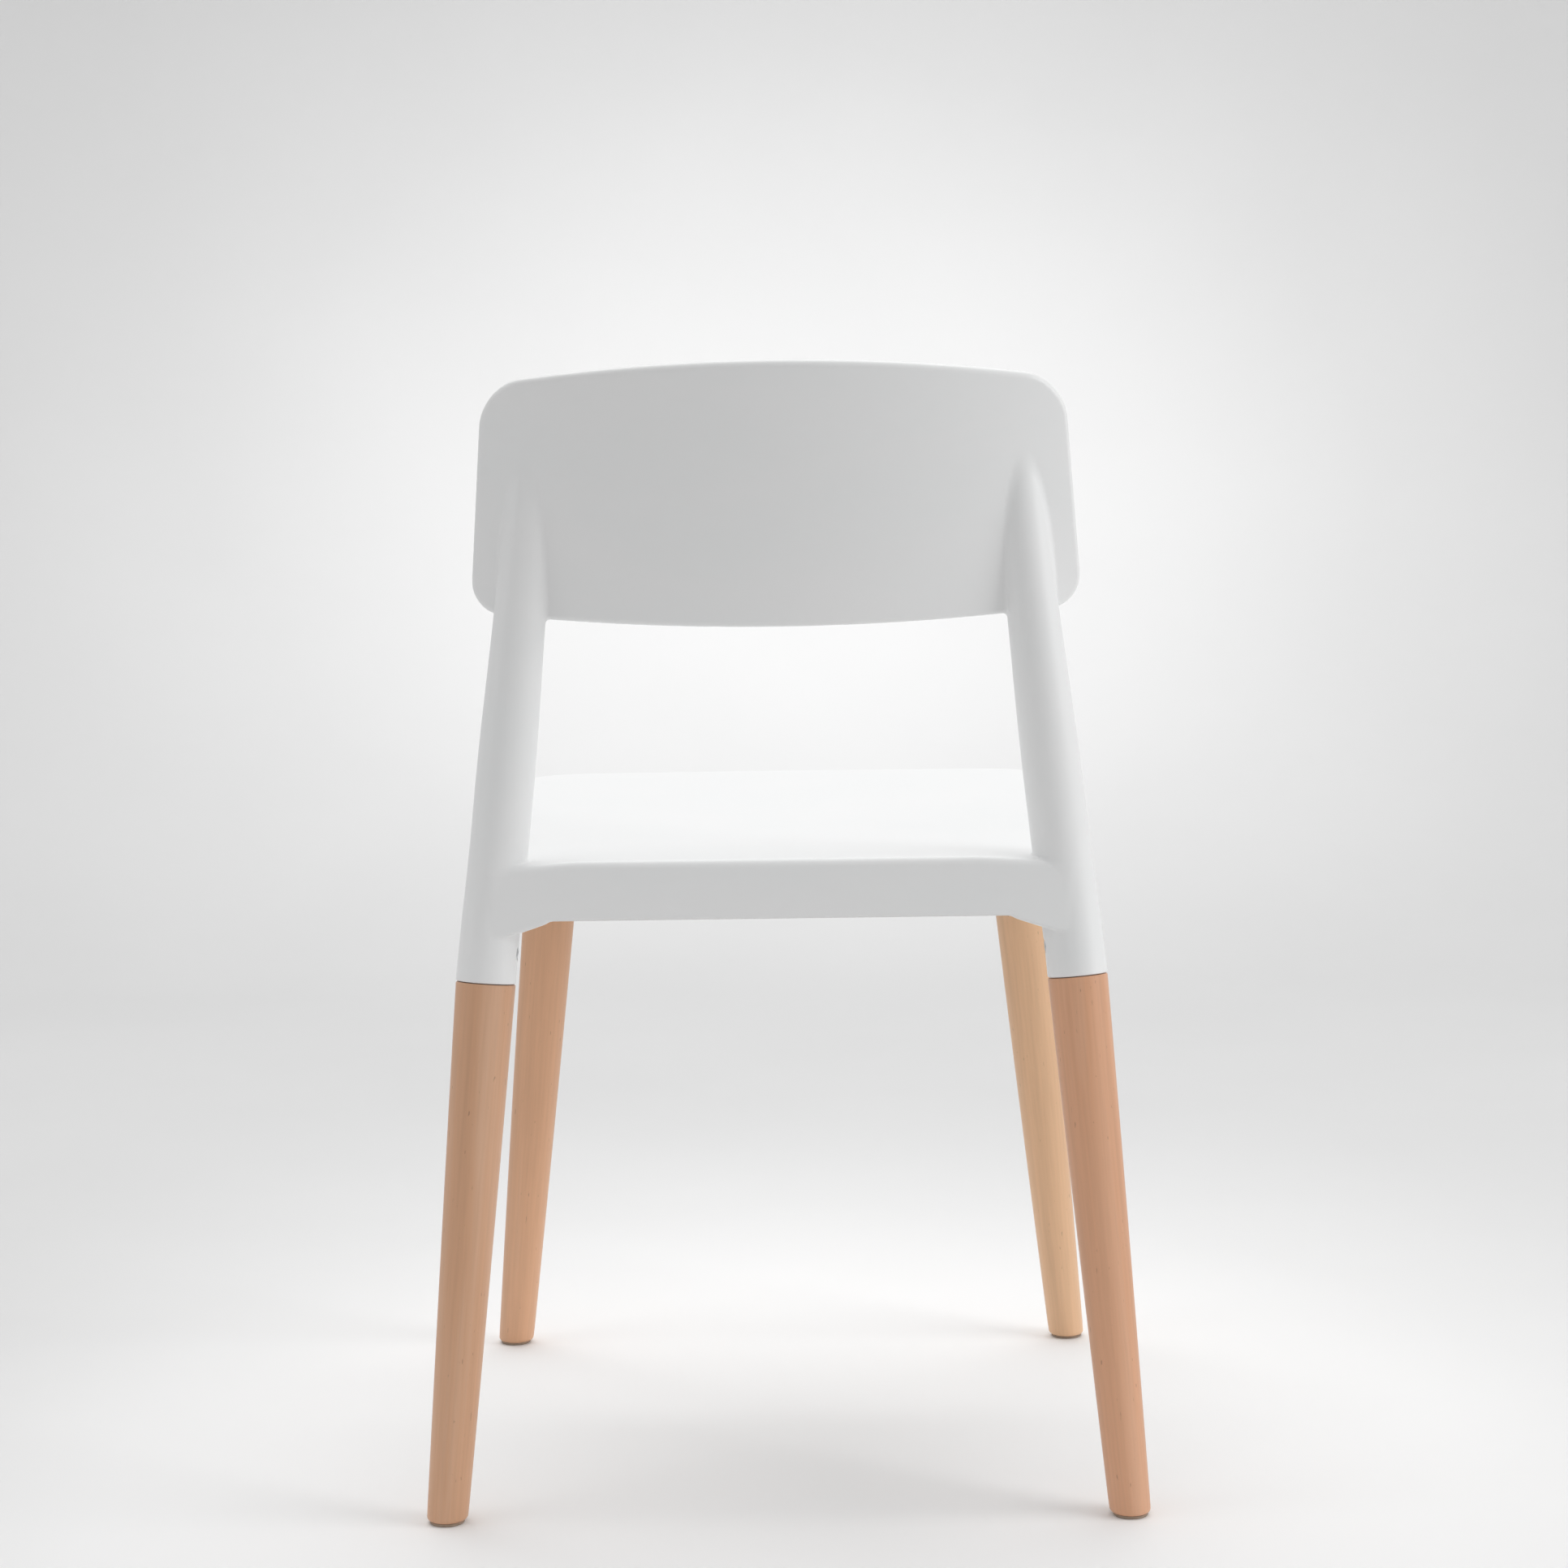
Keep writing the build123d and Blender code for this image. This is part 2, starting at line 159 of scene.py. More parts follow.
LONG_RIBS = np.linspace(-178, 178, 6)
CROSS_RIBS = np.linspace(-188, 163, 6)

# Radii where the moulding's shapes meet. Two of them change with height, from a start and over a length.
POST_END_BLEND = 4.0
HOLLOW_BLEND = 3.0
HOLLOW_RIM_R = 1.5
BOSS_BLEND = 3.0
SEAT_POST_BLEND = (0.7, 2.1)
SEAT_POST_CHANGE = (438.0, 10.0)
BACK_POST_BLEND = (3.0, 1.4)
BACK_POST_CHANGE = (20.0, 90.0)


# ---- distance fields -------------------------------------------------------------------------------------
# The plastic frame is one moulding. Its shape is a field over x, y and z, negative inside.
def both(a, b, r):
    """Intersection of two fields, with the outer edge rounded to radius r."""
    return np.minimum(np.maximum(a, b), -r) + np.hypot(np.maximum(a + r, 0), np.maximum(b + r, 0))


def either(a, b, r):
    """Union of two fields, with the inner corner filled to radius r."""
    return np.maximum(np.minimum(a, b), r) - np.hypot(np.maximum(r - a, 0), np.maximum(r - b, 0))


def ease(t):
    """Smooth step from 0 to 1."""
    t = np.clip(t, 0, 1)
    return t * t * (3 - 2 * t)


def between(ends, value, start, length):
    """Smooth change from the first end to the second, as a value goes on from its start over a length."""
    return ends[0] + (ends[1] - ends[0]) * ease((value - start) / length)


def rod(x, y, place, slope, radius):
    """Distance to a round bar, from its axis point and slope at the same height."""
    dx = x - place[0]
    dy = y - place[1]
    along = (dx * slope[0] + dy * slope[1]) ** 2 / (1 + slope[0] ** 2 + slope[1] ** 2)
    return np.sqrt(np.maximum(dx ** 2 + dy ** 2 - along, 0)) - radius


def leg_axis(end, z):
    """Leg's axis point and slope at height z."""
    foot, joint = LEGS[end]
    slope = (joint - foot)[:2] / joint[2]
    return [foot[k] + slope[k] * z for k in range(2)], slope


def post_axis(z):
    """Rear post's axis point and slope at height z: along the leg, then a soft bend, then straight."""
    low, high = REAR_JOINT[2], BEND_TOP[2]
    t = np.clip((z - low) / (high - low), 0, 1)
    arm = (high - low) / 3
    _, start = leg_axis("rear", 0)
    place = []
    slope = []
    for k in range(2):
        a, d = REAR_JOINT[k], BEND_TOP[k]
        b, c = a + start[k] * arm, d - UPRIGHT_RISE[k] * arm
        curve = a * (1 - t) ** 3 + 3 * b * t * (1 - t) ** 2 + 3 * c * t ** 2 * (1 - t) + d * t ** 3
        ends = start[k] * np.minimum(z - low, 0) + UPRIGHT_RISE[k] * np.maximum(z - high, 0)
        place.append(curve + ends)
        slope.append(((b - a) * (1 - t) ** 2 + 2 * (c - b) * t * (1 - t) + (d - c) * t ** 2) / arm)
    return place, slope


def post_field(x, y, z):
    """Rear post, from below its socket's mouth to above the backrest."""
    bent = np.clip((z - REAR_JOINT[2]) / (BEND_TOP[2] - REAR_JOINT[2]), 0, 1)
    waist = ease((z - BEND_TOP[2] - WAIST_START) / WAIST_LENGTH)
    radius = JOINT_R - (JOINT_R - UPRIGHT_R) * bent - (UPRIGHT_R - UPRIGHT_TIP_R) * waist
    place, slope = post_axis(z)
    return rod(x, y, place, slope, radius)


def back_place(x, y, z):
    """Backrest's own coordinates: x and z of the nearest point of its middle sheet, and the way out of it."""
    up = ((y - BACK_REAR_Y) * BACK_LEAN + (z - BACK_BOTTOM_Z)) / BACK_TILT
    rearward = ((y - BACK_REAR_Y) - (z - BACK_BOTTOM_Z) * BACK_LEAN) / BACK_TILT + BACK_BEND_R
    middle = BACK_BEND_R - BACK_T / 2
    radius = np.hypot(x, rearward)
    sheet_x = x * middle / radius
    sheet_rearward = rearward * middle / radius - BACK_BEND_R
    sheet_z = BACK_BOTTOM_Z + (up - sheet_rearward * BACK_LEAN) / BACK_TILT
    return sheet_x, sheet_z, radius - middle


def back_bottom(x):
    """Height of the backrest's bottom edge."""
    return BACK_BOTTOM_Z + BACK_BOTTOM_SAG * (x / BACK_HALF_BOTTOM) ** 2


def back_field(x, y, z):
    """Backrest: a bent sheet with tapering sides, round corners and round edges."""
    sheet_x, sheet_z, out = back_place(x, y, z)
    half_top = BACK_HALF_BOTTOM - BACK_SIDE_SLOPE * (BACK_TOP_Z - BACK_BOTTOM_Z)
    half = BACK_HALF_BOTTOM - BACK_SIDE_SLOPE * (sheet_z - BACK_BOTTOM_Z)
    side = (sheet_x - half) * BACK_SIDE_STRETCH
    over = (sheet_z - BACK_TOP_Z + BACK_TOP_SAG * (sheet_x / half_top) ** 2) * BACK_TILT
    under = (back_bottom(sheet_x) - sheet_z) * BACK_TILT
    outline = np.maximum(both(side, over, BACK_TOP_CORNER_R), both(side, under, BACK_BOTTOM_CORNER_R))
    return both(outline, np.abs(out) - BACK_T / 2, BACK_EDGE_R)


def seat_top(x, y):
    """Height of the seat's top face: a dip before the backrest, a crest in front, low rear corners."""
    t = np.clip((SEAT_REAR_Y - y) / (SEAT_REAR_Y - SEAT_CREST_Y), 0, 1)
    bump = np.sin(math.pi * t) ** 2
    rise = (SEAT_FRONT_Z - SEAT_REAR_Z) * (SEAT_EVEN_RISE * t + (1 - SEAT_EVEN_RISE) * ease(t))
    cross = SEAT_CROSS_DIP * np.cos(math.pi * np.clip(x / SEAT_CROSS_WIDTH, -0.5, 0.5)) ** 2
    span_x, span_y = SEAT_CORNER_SPAN
    corner = ease((np.abs(x) - SEAT_CORNER_X) / span_x) * ease((y - SEAT_REAR_Y + span_y) / span_y)
    dip = bump * (SEAT_DIP * (1 - SEAT_DIP_FADE * t) + cross)
    return SEAT_REAR_Z + rise - dip - SEAT_CORNER_DROP * corner


def seat_plan(x, y, z, inset):
    """Seat seen from above: straight at the back, round at the front corners, bowed in front."""
    t = (SEAT_REAR_Y - y) / (SEAT_REAR_Y - SEAT_FRONT_Y)
    draft = SEAT_DRAFT * np.maximum(SEAT_FRONT_Z - SEAT_DRAFT_FROM - z, 0)
    half = SEAT_HALF_REAR + (SEAT_HALF_FRONT - SEAT_HALF_REAR) * t - draft - inset
    front = SEAT_FRONT_Y + SEAT_FRONT_BOW * (x / SEAT_HALF_FRONT) ** 2 + draft + inset
    plan = both(np.abs(x) - half, front - y, SEAT_CORNER_R - inset)
    return both(plan, y - SEAT_REAR_Y + inset, SEAT_REAR_CORNER_R)


def skirt(x, y, z):
    """How far the apron's lower edge drops in a soft curve as it nears a socket."""
    rear, _ = post_axis(z)
    front, _ = leg_axis("front", z)
    near = np.minimum(np.hypot(x - rear[0], y - rear[1]), np.hypot(x - front[0], y - front[1])) - JOINT_R
    t = np.clip(1 - near / SKIRT_REACH, 0, 1)
    return SKIRT_DROP * t * ease(SKIRT_ONSET * t)


def seat_block(x, y, z, inset):
    """Seat as a solid block. With an inset it is the hollow under the skin, open below."""
    change = ease((SEAT_CREST_Y + SEAT_EDGE_CHANGE - y) / SEAT_EDGE_CHANGE)
    edge = SEAT_REAR_EDGE_R + (SEAT_FRONT_EDGE_R - SEAT_REAR_EDGE_R) * change
    field = both(seat_plan(x, y, z, inset), z - seat_top(x, y) + inset, edge - inset * SEAT_EDGE_SHRINK)
    if inset:
        return field
    bottom = SEAT_BOTTOM_REAR_Z + SEAT_BOTTOM_SLOPE * (SEAT_REAR_Y - y) - skirt(x, y, z)
    return both(field, bottom - z, APRON_RIM_R)


def moulding(x, y, z):
    """The whole plastic frame, down to a little below the leg joints."""
    x = np.abs(x)
    sheet_x, sheet_z, out = back_place(x, y, z)
    above_edge = sheet_z - back_bottom(sheet_x)
    reach = POST_COVER - BACK_T / 2 - POST_CUT_SLOPE * np.maximum(POST_CUT_HEIGHT - above_edge, 0)
    post = both(post_field(x, y, z), reach - out, POST_END_BLEND)
    place, slope = leg_axis("front", z)
    boss = np.maximum(rod(x, y, place, slope, JOINT_R), z - seat_top(x, y) + SKIN / 2)
    hollow = both(seat_block(x, y, z, SKIN), -np.minimum(post, boss), HOLLOW_BLEND)
    seat = both(seat_block(x, y, z, 0.0), -hollow, HOLLOW_RIM_R)
    seat = either(seat, boss, BOSS_BLEND)
    seat = either(seat, post, between(SEAT_POST_BLEND, z, *SEAT_POST_CHANGE))
    back = either(seat, back_field(x, y, z), between(BACK_POST_BLEND, above_edge, *BACK_POST_CHANGE))
    return np.maximum(back, REAR_JOINT[2] - CUT_BELOW_JOINT - z)


# ---- mesh helpers ----------------------------------------------------------------------------------------
def gradient(points):
    """Slope of the moulding's field at each point."""
    step = 0.05
    result = np.empty_like(points)
    for k in range(3):
        shift = np.zeros(3)
        shift[k] = step
        result[:, k] = (moulding(*(points + shift).T) - moulding(*(points - shift).T)) / (2 * step)
    return result


def settle(points):
    """Moves points onto the moulding's surface, in four rounds of at most 1 mm along each axis."""
    smallest_slope = 0.5
    for _ in range(4):
        slope = gradient(points)
        size = np.maximum((slope ** 2).sum(1), smallest_slope ** 2)
        move = slope * (moulding(*points.T) / size)[:, None]
        points = points - np.clip(move, -1.0, 1.0)
    return points


def new_piece(name, points, faces):
    """New mesh object from points in millimetres."""
    mesh = bpy.data.meshes.new(name)
    mesh.from_pydata((np.asarray(points) * MM).tolist(), [], [list(face) for face in faces])
    mesh.shade_smooth()
    piece = bpy.data.objects.new(name, mesh)
    bpy.context.scene.collection.objects.link(piece)
    return piece


def vertices_mm(piece):
    """A piece's vertices, in millimetres."""
    points = np.empty(len(piece.data.vertices) * 3)
    piece.data.vertices.foreach_get("co", points)
    return points.reshape(-1, 3) / MM


def apply_modifiers(piece):
    """Turns a piece's modifiers into its mesh."""
    graph = bpy.context.evaluated_depsgraph_get()
    made = bpy.data.meshes.new_from_object(piece.evaluated_get(graph))
    piece.modifiers.clear()
    piece.data = made


def combine(piece, tools, operation):
    """Cuts tools from a piece or adds them to it, then removes them."""
    for tool in tools:
        step = piece.modifiers.new("combine", "BOOLEAN")
        step.operation = operation
        step.solver = "MANIFOLD"
        step.object = tool
    apply_modifiers(piece)
    for tool in tools:
        bpy.data.objects.remove(tool)


def ring_faces(count, steps):
    """Faces of a closed solid made of rings of points, with one point before them and one after."""
    last = 1 + count * steps
    faces = []
    for k in range(steps):
        following = (k + 1) % steps
        faces.append((0, 1 + following, 1 + k))
        for ring in range(count - 1):
            a = 1 + ring * steps
            b = a + steps
            faces.append((a + k, a + following, b + following, b + k))
        a = last - steps
        faces.append((last, a + k, a + following))
    return faces


def turned(name, profile, matrix, steps=64):
    """Closed solid turned about its own Z axis from (radius, height) points. The ends lie on the axis."""
    rings = profile[1:-1]
    points = [(0, 0, profile[0][1])]
    for radius, height in rings:
        for k in range(steps):
            angle = 2 * math.pi * k / steps
            points.append((radius * math.cos(angle), radius * math.sin(angle), height))
    points.append((0, 0, profile[-1][1]))
    piece = new_piece(name, points, ring_faces(len(rings), steps))
    piece.matrix_world = matrix
    return piece


def leg_name(end, side):
    """Name of a leg's CAD node. Side is 1 on the sitter's left and -1 on the sitter's right."""
    return f"{end}_{'left' if side > 0 else 'right'}_leg"


def leg_matrix(end, side):
    """Leg's own axes: origin at its joint, Z up the leg, X towards the chair's middle."""
    mirror = np.array((side, 1, 1))
    foot, joint = (Vector(point * mirror) for point in LEGS[end])
    up = (joint - foot).normalized()
    inward = Vector((-side, 0, 0))
    inward = (inward - up * inward.dot(up)).normalized()
    matrix = Matrix((inward, up.cross(inward), up)).transposed().to_4x4()
    matrix.translation = joint * MM
    return matrix


def quarter_turn():
    """Turns Z onto X, for holes that run along a leg's X axis."""
    return Matrix.Rotation(math.pi / 2, 4, "Y")


# ---- the moulding ----------------------------------------------------------------------------------------
def rough_surface(pitch):
    """Quads near the moulding's surface, from its field on a grid that reaches a little past it."""
    margin = 8
    half = int((SEAT_HALF_FRONT + 18) / pitch)
    xs = pitch * np.arange(half + 1)
    ys = np.arange(SEAT_FRONT_Y - 6, box_mm("backrest")[1][1] + margin, pitch)
    zs = np.arange(REAR_JOINT[2] - CUT_BELOW_JOINT - 7, BACK_TOP_Z + margin, pitch)
    y, z = np.meshgrid(ys, zs, indexing="ij")
    field = np.empty((half + 1, len(ys), len(zs)), np.float32)
    for i, place in enumerate(xs):
        field[i] = moulding(np.full_like(y, place), y, z)
    reach = 3 * pitch
    field = np.clip(field, -reach, reach)
    grid = openvdb.FloatGrid(reach)
    grid.copyFromArray(np.concatenate((field[:0:-1], field)))
    points, quads = grid.convertToQuads(0.0)
    return points * pitch + (-half * pitch, ys[0], zs[0]), quads


def make_rib_grid():
    """Rib grid under the seat's skin, as one closed lattice."""
    def lines(ribs, ends):
        """Grid lines along one axis: both ends, both sides of each rib, and steps between them."""
        edges = list(ends)
        for rib in ribs:
            edges += [rib - RIB_T / 2, rib + RIB_T / 2]
        edges = sorted(edges)
        every = []
        for a, b in zip(edges, edges[1:]):
            every += list(np.linspace(a, b, max(1, round((b - a) / RIB_STEP)), endpoint=False))
        return every + [edges[-1]]

    def wall(fixed, across, sign):
        """Where a rib meets the middle of the apron."""
        low, high = 0.0, 260.0
        for _ in range(30):
            middle = (low + high) / 2
            x, y = (sign * middle, fixed) if across else (fixed, sign * middle)
            inside = seat_plan(abs(x), y, RIB_WALL_Z, SKIN / 2) < 0
            low, high = (middle, high) if inside else (low, middle)
        return sign * low

    def under_skin(x, y, floor):
        """Height of the middle of the skin over a rib."""
        low, high = floor, floor + 30.0
        for _ in range(30):
            middle = (low + high) / 2
            inside = seat_block(abs(x), y, middle, SKIN / 2) < 0
            low, high = (middle, high) if inside else (low, middle)
        return max(low, floor + 0.5)

    xs = lines(LONG_RIBS, RIB_ENDS_X)
    ys = lines(CROSS_RIBS, RIB_ENDS_Y)
    in_long = [min(abs((a + b) / 2 - LONG_RIBS)) < RIB_T / 2 for a, b in zip(xs, xs[1:])]
    in_cross = [min(abs((a + b) / 2 - CROSS_RIBS)) < RIB_T / 2 for a, b in zip(ys, ys[1:])]
    filled = np.array([[p or q for q in in_cross] for p in in_long])
    numbers = {}
    points = []

    def corner(i, j, level):
        key = (i, j, level)
        if key not in numbers:
            x, y = xs[i], ys[j]
            if i in (0, len(xs) - 1):
                x = wall(y, True, np.sign(x))
            if j in (0, len(ys) - 1):
                y = wall(x, False, np.sign(y))
            numbers[key] = len(points)
            floor = seat_top(abs(x), y) - SKIN - RIB_DEPTH
            points.append((x, y, under_skin(x, y, floor) if level else floor))
        return numbers[key]

    faces = []
    padded = np.pad(filled, 1)
    for i, j in np.argwhere(filled):
        square = [(i, j), (i + 1, j), (i + 1, j + 1), (i, j + 1)]
        faces.append([corner(*spot, 1) for spot in square])
        faces.append([corner(*spot, 0) for spot in reversed(square)])
        beside = [(i, j - 1), (i + 1, j), (i, j + 1), (i - 1, j)]
        for k, (p, q) in enumerate(beside):
            if not padded[p + 1, q + 1]:
                a, b = square[k], square[(k + 1) % 4]
                faces.append([corner(*a, 0), corner(*b, 0), corner(*b, 1), corner(*a, 1)])
    return new_piece("rib_grid", points, faces)


def socket_cutters():
    """For each leg: the bore with the socket's flat mouth, and the screw's hole with its flat seat."""
    far = 42.0
    rim = JOINT_GAP + 2 * JOINT_EDGE
    bore = TENON_R + BORE_PLAY
    lead = 0.6
    mouth = [(0, -30), (far, -30), (far, rim), (JOINT_R + JOINT_EDGE, rim), (JOINT_R - JOINT_EDGE, JOINT_GAP)]
    mouth += [(bore + lead, JOINT_GAP), (bore, JOINT_GAP + lead)]
    mouth += [(bore, TENON_LENGTH + 1), (0, TENON_LENGTH + 1)]
    hole = [(0, 6), (HOLE_R, 6), (HOLE_R, SPOT_FROM_AXIS), (SPOT_R, SPOT_FROM_AXIS), (SPOT_R, 34), (0, 34)]
    tools = []
    for end in LEGS:
        for side in (1, -1):
            matrix = leg_matrix(end, side)
            place = matrix @ Matrix.Translation((0, 0, SCREW_HEIGHT * MM)) @ quarter_turn()
            tools.append(turned("bore", mouth, matrix))
            tools.append(turned("screw_hole", hole, place, 48))
    return tools


def moulded_normals(piece):
    """Gives the moulded faces the field's own normals, and leaves the cut faces and the ribs flat."""
    mesh = piece.data
    points = vertices_mm(piece)
    slope = gradient(points)
    slope /= np.linalg.norm(slope, axis=1)[:, None]
    on_surface = 0.12
    same_way = 0.75
    near = np.abs(moulding(*points.T)) < on_surface
    corner_vertex = np.empty(len(mesh.loops), int)
    mesh.loops.foreach_get("vertex_index", corner_vertex)
    face_normal = np.empty(len(mesh.polygons) * 3)
    mesh.polygons.foreach_get("normal", face_normal)
    face_normal = face_normal.reshape(-1, 3)
    sides = np.empty(len(mesh.polygons), int)
    mesh.polygons.foreach_get("loop_total", sides)
    flat = np.repeat(face_normal, sides, axis=0)
    field = slope[corner_vertex]
    smooth = near[corner_vertex] & ((flat * field).sum(1) > same_way)
    mesh.normals_split_custom_set(np.where(smooth[:, None], field, flat).tolist())


def make_moulding():
    """The plastic frame: seat, posts, backrest, sockets and ribs in one seamless piece."""
    pitch, wanted = ((2.1, 170000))
    points, quads = rough_surface(pitch)
    piece = new_piece("moulded_frame", settle(points), quads)
    fewer = piece.modifiers.new("fewer", "DECIMATE")
    fewer.ratio = min(1.0, wanted / (2 * len(quads)))
    apply_modifiers(piece)
    points = settle(vertices_mm(piece)) * MM
    piece.data.vertices.foreach_set("co", points.ravel())
    combine(piece, [make_rib_grid()], "UNION")
    combine(piece, socket_cutters(), "DIFFERENCE")
    moulded_normals(piece)
    return piece


# ---- legs ------------------------------------------------------------------------------------------------
def make_leg(end, side):
    """Turned leg with its tenon. The foot is cut level, with a rounded rim."""
    steps = 96
    foot, joint = LEGS[end]
    length = np.linalg.norm(joint - foot)
    matrix = leg_matrix(end, side)
    lift = matrix[2][:3]
    drop = joint[2] - FOOT_Z

    def level(radius, angle):
        """Height along the leg at which a point of that radius is level with the foot."""
        rise = radius * (lift[0] * math.cos(angle) + lift[1] * math.sin(angle))
        return -(drop + rise) / lift[2]

    def side_radius(height):
        t = (height + length) / length
        return FOOT_R + (JOINT_R - FOOT_R) * t + 4 * ENTASIS * t * (1 - t)

    angles = [2 * math.pi * k / steps for k in range(steps)]
    rings = []
    bottom_r = FOOT_R - FOOT_ROUND
    rings += [[(radius, level(radius, a)) for a in angles] for radius in (4.0, 8.0, bottom_r)]
    for turn in (15, 30, 45, 60, 75, 90):
        turn = math.radians(turn)
        radius = bottom_r + FOOT_ROUND * math.sin(turn)
        rings.append([(radius, level(radius, a) + FOOT_ROUND * (1 - math.cos(turn))) for a in angles])
    start = [height for _, height in rings[-1]]
    shaft_rings = 48
    for k in range(1, shaft_rings + 1):
        t = k / shaft_rings
        heights = [s + (-JOINT_GAP - JOINT_EDGE - s) * t for s in start]
        rings.append([(side_radius(h), h) for h in heights])
    for radius, height in [
        (JOINT_R - JOINT_EDGE, -JOINT_GAP),
        (TENON_R + 0.5, -JOINT_GAP),
        (TENON_R, 0.5 - JOINT_GAP),
        (TENON_R, TENON_LENGTH - 2),
        (TENON_R - 1.5, TENON_LENGTH),
    ]:
        rings.append([(radius, height)] * steps)
    points = [(0, 0, level(0, 0))]
    for ring in rings:
        points += [(r * math.cos(a), r * math.sin(a), h) for (r, h), a in zip(ring, angles)]
    points.append((0, 0, TENON_LENGTH))
    leg = new_piece("beech_" + leg_name(end, side), points, ring_faces(len(rings), steps))
    leg.matrix_world = matrix
    hole = [(0, 0), (INSERT_R, 0), (INSERT_R, 20), (0, 20)]
    place = matrix @ Matrix.Translation((0, 0, SCREW_HEIGHT * MM)) @ quarter_turn()
    combine(leg, [turned("insert_hole", hole, place, 40)], "DIFFERENCE")
    leg.data.transform(matrix)
    leg.matrix_world = Matrix.Identity(4)
    leg.data.shade_smooth()
    leg.data.set_sharp_from_angle(angle=math.radians(32))
    return leg


# ---- materials -------------------------------------------------------------------------------------------
class Shader:
    """Small helper that adds and joins the nodes of one material."""

    def __init__(self, name):
        self.material = bpy.data.materials.new(name)
        self.material.use_nodes = True
        self.tree = self.material.node_tree
        self.surface = self.tree.nodes["Principled BSDF"]

    def add(self, kind, inputs=(), **settings):
        node = self.tree.nodes.new("ShaderNode" + kind)
        for key, value in settings.items():
            setattr(node, key, value)
        for key, value in dict(inputs).items():
            if isinstance(value, bpy.types.NodeSocket):
                self.tree.links.new(value, node.inputs[key])
            else:
                node.inputs[key].default_value = value
        return node

    def set(self, **values):
        for key, value in values.items():
            socket = self.surface.inputs[key.replace("_", " ")]
            if isinstance(value, bpy.types.NodeSocket):
                self.tree.links.new(value, socket)
            else:
                socket.default_value = value

    def place(self):
        return self.add("TexCoord").outputs["Object"]

    def stretched(self, scale):
        """Object coordinates, squeezed or stretched along each axis."""
        inputs = {"Vector": self.place(), "Scale": scale}
        return self.add("Mapping", inputs).outputs[0]

    def noise(self, vector, scale, detail=3.0, roughness=0.5, distortion=0.0):
        inputs = {"Vector": vector, "Scale": scale, "Detail": detail}
        inputs.update(Roughness=roughness, Distortion=distortion)
        return self.add("TexNoise", inputs).outputs["Fac"]

    def ramp(self, factor, *stops):
        node = self.add("ValToRGB", {"Fac": factor})
        ramp = node.color_ramp
        while len(ramp.elements) < len(stops):
            ramp.elements.new(0.5)
        for element, (place, colour) in zip(ramp.elements, stops):
            element.position = place
            element.color = colour if isinstance(colour, tuple) else (colour, colour, colour, 1)
        return node.outputs["Color"]

    def between(self, value, low, high):
        return self.add("MapRange", {"Value": value, "To Min": low, "To Max": high}).outputs[0]

    def mix(self, factor, a, b, blend="MIX"):
        node = self.add("Mix", data_type="RGBA", blend_type=blend)
        for key, value in ((0, factor), (6, a), (7, b)):
            if isinstance(value, bpy.types.NodeSocket):
                self.tree.links.new(value, node.inputs[key])
            else:
                node.inputs[key].default_value = value
        return node.outputs[2]

    def bump(self, height, strength, distance, below=None):
        inputs = {"Height": height, "Strength": strength, "Distance": distance}
        if below is not None:
            inputs["Normal"] = below
        return self.add("Bump", inputs).outputs[0]


def linear(red, green, blue):
    """Scene colour from an everyday colour whose parts are well above 10 out of 255."""
    return tuple(((c / 255 + 0.055) / 1.055) ** 2.4 for c in (red, green, blue)) + (1.0,)


def white_plastic():
    """Satin white polypropylene with a very fine moulded texture and faint flow marks."""
    s = Shader("white_polypropylene")
    place = s.place()
    fine = s.noise(place, 1400, 3, 0.6)
    flow = s.noise(s.stretched((6, 6, 18)), 1.0, 4, 0.55, 0.6)
    tone = s.ramp(flow, (0.3, linear(238, 239, 239)), (0.7, linear(240, 240, 240)))
    normal = s.bump(s.noise(place, 26, 2, 0.4), 0.10, 0.0006)
    normal = s.bump(fine, 0.12, 0.00012, normal)
    s.set(Base_Color=tone, Roughness=s.between(s.noise(place, 240, 3), 0.34, 0.44), Normal=normal)
    s.set(IOR=1.49, Specular_IOR_Level=0.5, Subsurface_Weight=0.0)
    return s.material


def beech(name, middle, matrix, seed):
    """Lacquered beech: faint grain along the leg, soft growth bands and sparse short dark ray flecks."""
    s = Shader(name)
    axes = {"Vector": s.place(), "Location": matrix.translation, "Rotation": matrix.to_euler()}
    along = s.add("Mapping", axes, vector_type="TEXTURE").outputs[0]

    def stretched(scale, shift):
        return s.add("Mapping", {"Vector": along, "Location": (seed + shift,) * 3, "Scale": scale}).outputs[0]

    dark = linear(*(c * 0.955 for c in middle))
    light = linear(*(255 - (255 - c) * 0.86 for c in middle))
    bands = s.noise(stretched((34, 34, 1.3), 0), 1.0, 4, 0.5, 1.0)
    fibre = s.noise(stretched((520, 520, 12), 1), 1.0, 4, 0.6, 0.2)
    fleck = s.noise(stretched((620, 620, 130), 3), 1.0, 1, 0.4)
    colour = s.ramp(bands, (0.3, dark), (0.5, linear(*middle)), (0.72, light))
    colour = s.mix(0.5, colour, s.ramp(fibre, (0.34, 0.89), (0.6, 1.0)), "MULTIPLY")
    colour = s.mix(0.6, colour, s.ramp(fleck, (0.2, 0.5), (0.25, 1.0)), "MULTIPLY")
    normal = s.bump(fibre, 0.08, 0.0002)
    normal = s.bump(fleck, 0.10, 0.0001, normal)
    s.set(Base_Color=colour, Roughness=s.between(fibre, 0.40, 0.52), Normal=normal)
    s.set(IOR=1.5, Coat_Weight=0.15, Coat_Roughness=0.3)
    return s.material


